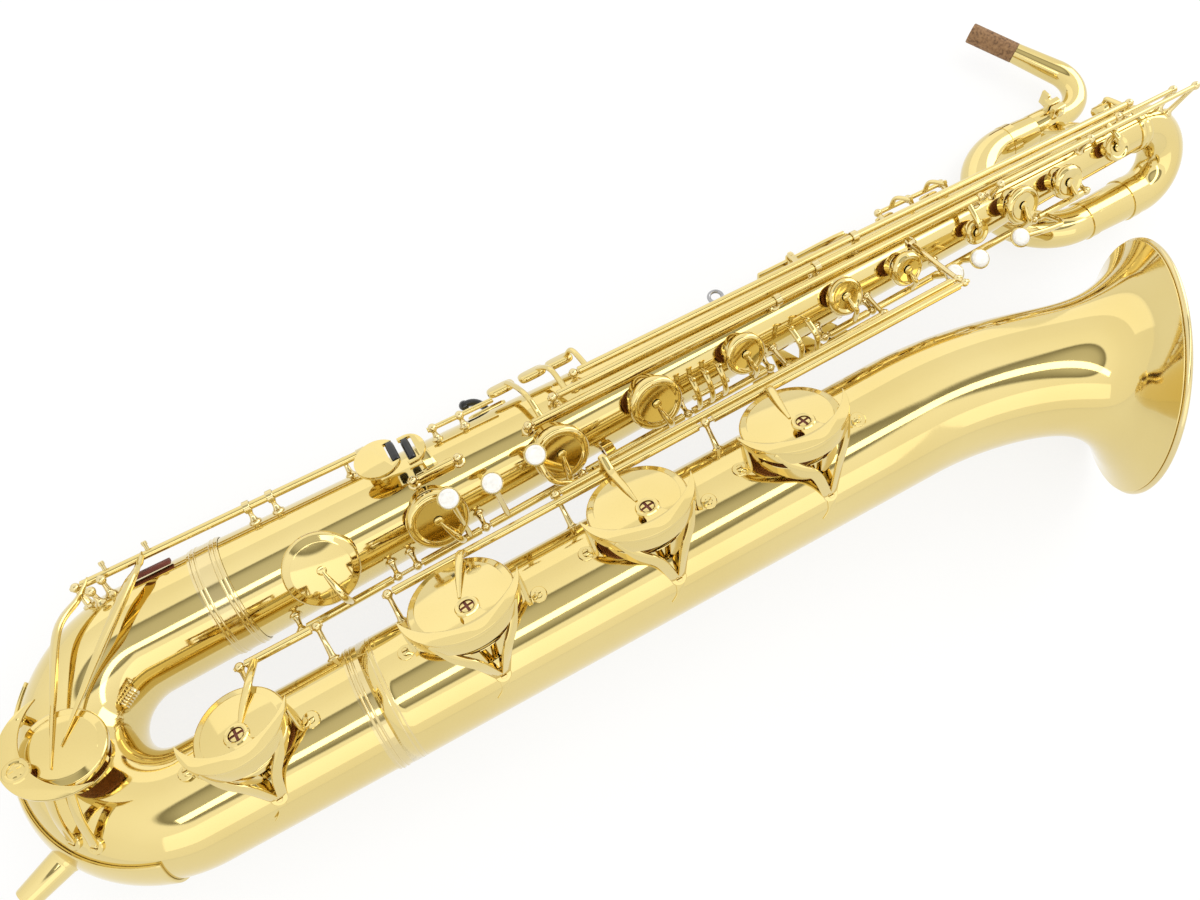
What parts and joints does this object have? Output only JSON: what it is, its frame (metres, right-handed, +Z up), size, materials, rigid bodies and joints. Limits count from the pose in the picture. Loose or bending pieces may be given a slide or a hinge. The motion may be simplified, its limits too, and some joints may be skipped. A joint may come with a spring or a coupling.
{
  "type": "baritone saxophone",
  "caption": "Low A baritone saxophone in gold lacquered brass, lying on its left side, with working keys, pearls, key guards, crook loop and swivel neck.",
  "frame": {"origin": "centre of the underside of the bounding box, on the floor", "axes": "+X along the body from the bow to the crook, +Y from the bell to the player, +Z up"},
  "size_m": [1.0211, 0.4314, 0.1834],
  "materials": {
    "lacquered_brass": "polished, clear gold lacquer",
    "pale_brass": "polished, clear gold lacquer",
    "pad_leather": "tan pad leather over felt",
    "felt": "dark red felt",
    "cork": "greased cork",
    "black_plastic": "glossy black",
    "nickel": "nickel plated"
  },
  "bodies": {
    "body": {"body_tube": "lacquered_brass", "bow": "lacquered_brass", "bell_stem": "lacquered_brass", "bell_flare": "lacquered_brass", "bell_rim": "pale_brass", "ferrules": "pale_brass", "bow_guard": "lacquered_brass", "peg_socket": "lacquered_brass", "bell_brace": "lacquered_brass", "crook_bend": "lacquered_brass", "crook_loop": "lacquered_brass", "neck_receiver": "lacquered_brass", "strap_ring": "nickel", "thumb_hook": "black_plastic", "posts": "pale_brass", "hinge_rods": "pale_brass", "guard_low_a": "lacquered_brass", "guard_low_b_flat": "lacquered_brass", "guard_low_b": "lacquered_brass", "guard_low_c_sharp": "lacquered_brass", "guard_low_c": "lacquered_brass", "guard_bumpers": "felt"},
    "low_a": {"low_a_key": "lacquered_brass", "low_a_pad": "pad_leather"},
    "low_b_flat": {"low_b_flat_key": "lacquered_brass", "low_b_flat_pad": "pad_leather"},
    "low_b": {"low_b_key": "lacquered_brass", "low_b_pad": "pad_leather"},
    "low_c_sharp": {"low_c_sharp_key": "lacquered_brass", "low_c_sharp_pad": "pad_leather"},
    "low_e_flat": {"low_e_flat_key": "lacquered_brass", "low_e_flat_pad": "pad_leather"},
    "d": {"d_key": "lacquered_brass"},
    "e": {"e_key": "lacquered_brass"},
    "f": {"f_key": "lacquered_brass"},
    "f_sharp": {"f_sharp_key": "lacquered_brass"},
    "g_sharp": {"g_sharp_key": "lacquered_brass"},
    "g": {"g_key": "lacquered_brass"},
    "a": {"a_key": "lacquered_brass"},
    "b": {"b_key": "lacquered_brass"},
    "side_b_flat": {"side_b_flat_key": "lacquered_brass"},
    "side_c": {"side_c_key": "lacquered_brass"},
    "high_e": {"high_e_key": "lacquered_brass"},
    "palm_d": {"palm_d_key": "lacquered_brass"},
    "palm_e_flat": {"palm_e_flat_key": "lacquered_brass"},
    "palm_f": {"palm_f_key": "lacquered_brass"},
    "low_c": {"low_c_key": "lacquered_brass", "low_c_pad": "pad_leather"},
    "e_flat_lever": {"e_flat_lever": "lacquered_brass"},
    "c_roller": {"c_roller": "black_plastic"},
    "e_flat_roller": {"e_flat_roller": "black_plastic"},
    "g_sharp_touch": {"g_sharp_touch": "lacquered_brass"},
    "c_sharp_touch": {"c_sharp_touch": "lacquered_brass"},
    "b_touch": {"b_touch": "lacquered_brass"},
    "b_flat_touch": {"b_flat_touch": "lacquered_brass"},
    "octave_lever": {"octave_lever": "lacquered_brass"},
    "neck": {"neck_tube": "lacquered_brass", "neck_cork": "cork"},
    "clamp_screw": {"clamp_screw": "lacquered_brass"}
  },
  "joints": [
    {"name": "low_a_closes", "type": "hinge", "parent": "body", "child": "low_a", "pos_m": [0.12222, -0.02902, 0.10883], "axis": [0.999, 0.0065, 0.0436], "range_deg": [0, 9], "stiffness_Nm_per_rad": 0.1772, "springref_deg": -20.05},
    {"name": "low_b_flat_closes", "type": "hinge", "parent": "body", "child": "low_b_flat", "pos_m": [0.06446, -0.02277, 0.10166], "axis": [0.9991, 0.0068, 0.0429], "range_deg": [0, 8], "stiffness_Nm_per_rad": 0.2085, "springref_deg": -20.05},
    {"name": "low_b_closes", "type": "hinge", "parent": "body", "child": "low_b", "pos_m": [-0.10956, -0.03053, 0.0987], "axis": [0.999, 0.0065, 0.0436], "range_deg": [0, 9], "stiffness_Nm_per_rad": 0.1875, "springref_deg": -20.05},
    {"name": "low_c_sharp_opens", "type": "hinge", "parent": "body", "child": "low_c_sharp", "pos_m": [-0.30609, -0.02585, 0.08305], "axis": [-0.9992, 0, -0.0401], "range_deg": [0, 7], "stiffness_Nm_per_rad": 0.034, "springref_deg": -20.05},
    {"name": "low_e_flat_opens", "type": "hinge", "parent": "body", "child": "low_e_flat", "pos_m": [-0.2554, -0.01297, 0.05429], "axis": [0.999, 0.0271, 0.0355], "range_deg": [0, 8], "stiffness_Nm_per_rad": 0.0116, "springref_deg": -20.05},
    {"name": "d_closes", "type": "hinge", "parent": "body", "child": "d", "pos_m": [-0.17695, -0.01084, 0.05708], "axis": [-0.999, -0.0271, -0.0355], "range_deg": [0, 9], "stiffness_Nm_per_rad": 0.029, "springref_deg": -20.05},
    {"name": "e_closes", "type": "hinge", "parent": "body", "child": "e", "pos_m": [-0.11099, -0.00905, 0.05943], "axis": [-0.999, -0.0271, -0.0355], "range_deg": [0, 9], "stiffness_Nm_per_rad": 0.0239, "springref_deg": -20.05},
    {"name": "f_closes", "type": "hinge", "parent": "body", "child": "f", "pos_m": [-0.02704, -0.00677, 0.06242], "axis": [-0.999, -0.0271, -0.0355], "range_deg": [0, 9], "stiffness_Nm_per_rad": 0.0175, "springref_deg": -20.05},
    {"name": "f_sharp_closes", "type": "hinge", "parent": "body", "child": "f_sharp", "pos_m": [0.05391, -0.00457, 0.0653], "axis": [-0.999, -0.0271, -0.0355], "range_deg": [0, 9], "stiffness_Nm_per_rad": 0.0111, "springref_deg": -20.05},
    {"name": "g_sharp_opens", "type": "hinge", "parent": "body", "child": "g_sharp", "pos_m": [0.1619, -0.00085, 0.0677], "axis": [0.999, 0.0273, 0.0365], "range_deg": [0, 9], "stiffness_Nm_per_rad": 0.0086, "springref_deg": -20.05},
    {"name": "g_closes", "type": "hinge", "parent": "body", "child": "g", "pos_m": [0.21686, 0.00065, 0.06971], "axis": [-0.999, -0.0273, -0.0365], "range_deg": [0, 10], "stiffness_Nm_per_rad": 0.0086, "springref_deg": -20.05},
    {"name": "a_closes", "type": "hinge", "parent": "body", "child": "a", "pos_m": [0.29481, 0.00278, 0.07255], "axis": [-0.999, -0.0273, -0.0365], "range_deg": [0, 10], "stiffness_Nm_per_rad": 0.0086, "springref_deg": -20.05},
    {"name": "b_closes", "type": "hinge", "parent": "body", "child": "b", "pos_m": [0.36577, 0.00472, 0.07514], "axis": [-0.999, -0.0273, -0.0365], "range_deg": [0, 10], "stiffness_Nm_per_rad": 0.0086, "springref_deg": -20.05},
    {"name": "side_b_flat_opens", "type": "hinge", "parent": "body", "child": "side_b_flat", "pos_m": [0.10008, 0.02987, 0.09943], "axis": [-0.9999, -0.004, -0.0129], "range_deg": [0, 6], "stiffness_Nm_per_rad": 0.0151, "springref_deg": -20.05},
    {"name": "side_c_opens", "type": "hinge", "parent": "body", "child": "side_c", "pos_m": [0.18259, 0.03927, 0.10072], "axis": [-0.9999, 0.0027, -0.0128], "range_deg": [0, 7], "stiffness_Nm_per_rad": 0.0086, "springref_deg": -20.05},
    {"name": "high_e_opens", "type": "hinge", "parent": "body", "child": "high_e", "pos_m": [0.20268, 0.04794, 0.09903], "axis": [0.9999, -0.0092, 0.0142], "range_deg": [0, 7], "stiffness_Nm_per_rad": 0.0086, "springref_deg": -20.05},
    {"name": "palm_d_opens", "type": "hinge", "parent": "body", "child": "palm_d", "pos_m": [0.21108, 0.05735, 0.03928], "axis": [0.998, -0.0178, 0.0611], "range_deg": [0, 9], "stiffness_Nm_per_rad": 0.0108, "springref_deg": -20.05},
    {"name": "palm_e_flat_opens", "type": "hinge", "parent": "body", "child": "palm_e_flat", "pos_m": [0.25101, 0.05664, 0.04172], "axis": [0.998, -0.0178, 0.0611], "range_deg": [0, 9], "stiffness_Nm_per_rad": 0.0104, "springref_deg": -20.05},
    {"name": "palm_f_opens", "type": "hinge", "parent": "body", "child": "palm_f", "pos_m": [0.29095, 0.05592, 0.04416], "axis": [0.998, -0.0178, 0.0611], "range_deg": [0, 9], "stiffness_Nm_per_rad": 0.0086, "springref_deg": -20.05},
    {"name": "low_c_closes", "type": "hinge", "parent": "body", "child": "low_c", "pos_m": [-0.30168, 0.07736, 0.07279], "axis": [0.9994, -0.0227, 0.0246], "range_deg": [0, 5], "stiffness_Nm_per_rad": 0.4236, "springref_deg": -20.05},
    {"name": "e_flat_lever_press", "type": "hinge", "parent": "body", "child": "e_flat_lever", "pos_m": [-0.16439, 0.03228, 0.09339], "axis": [-0.9999, -0.0021, -0.0127], "range_deg": [0, 5], "stiffness_Nm_per_rad": 0.0086, "springref_deg": -20.05},
    {"name": "c_roller_spin", "type": "hinge", "parent": "low_c", "child": "c_roller", "pos_m": [-0.1847, 0.05338, 0.10276], "axis": [0.0128, 0.9298, -0.3679], "continuous": true},
    {"name": "e_flat_roller_spin", "type": "hinge", "parent": "e_flat_lever", "child": "e_flat_roller", "pos_m": [-0.1746, 0.05097, 0.10076], "axis": [0.0115, 0.9583, -0.2854], "continuous": true},
    {"name": "g_sharp_touch_press", "type": "hinge", "parent": "body", "child": "g_sharp_touch", "pos_m": [0.0948, 0.02115, 0.02529], "axis": [-0.9978, -0.0106, -0.0655], "range_deg": [0, 6], "stiffness_Nm_per_rad": 0.0086, "springref_deg": -20.05},
    {"name": "c_sharp_touch_press", "type": "hinge", "parent": "body", "child": "c_sharp_touch", "pos_m": [0.11776, 0.0214, 0.0268], "axis": [-0.9978, -0.0106, -0.0655], "range_deg": [0, 6], "stiffness_Nm_per_rad": 0.0086, "springref_deg": -20.05},
    {"name": "b_touch_press", "type": "hinge", "parent": "body", "child": "b_touch", "pos_m": [0.14071, 0.02164, 0.02831], "axis": [-0.9978, -0.0106, -0.0655], "range_deg": [0, 6], "stiffness_Nm_per_rad": 0.0086, "springref_deg": -20.05},
    {"name": "b_flat_touch_press", "type": "hinge", "parent": "body", "child": "b_flat_touch", "pos_m": [0.16367, 0.02188, 0.02981], "axis": [-0.9978, -0.0106, -0.0655], "range_deg": [0, 6], "stiffness_Nm_per_rad": 0.0086, "springref_deg": -20.05},
    {"name": "octave_lever_press", "type": "hinge", "parent": "body", "child": "octave_lever", "pos_m": [0.15729, 0.07029, 0.05802], "axis": [-0.0398, 0.1322, 0.9904], "range_deg": [0, 4], "stiffness_Nm_per_rad": 0.0086, "springref_deg": -20.05},
    {"name": "neck_swivel", "type": "hinge", "parent": "body", "child": "neck", "pos_m": [0.45215, 0.09868, 0.0176], "axis": [0.9992, 0, 0.0401], "range_deg": [0, 40]},
    {"name": "clamp_screw_turn", "type": "hinge", "parent": "body", "child": "clamp_screw", "pos_m": [0.45746, 0.10093, 0.03468], "axis": [0.0053, 0.9912, -0.1321], "continuous": true}
  ],
  "couplings": [
    {"joint": "f_sharp_closes", "follows": "f_closes", "ratio": 1},
    {"joint": "g_sharp_touch_press", "follows": "g_sharp_opens", "ratio": 0.66667},
    {"joint": "c_sharp_touch_press", "follows": "low_c_sharp_opens", "ratio": 0.85714},
    {"joint": "b_touch_press", "follows": "low_b_closes", "ratio": 0.66667},
    {"joint": "b_flat_touch_press", "follows": "low_b_flat_closes", "ratio": 0.75},
    {"joint": "e_flat_lever_press", "follows": "low_e_flat_opens", "ratio": 0.625}
  ]
}
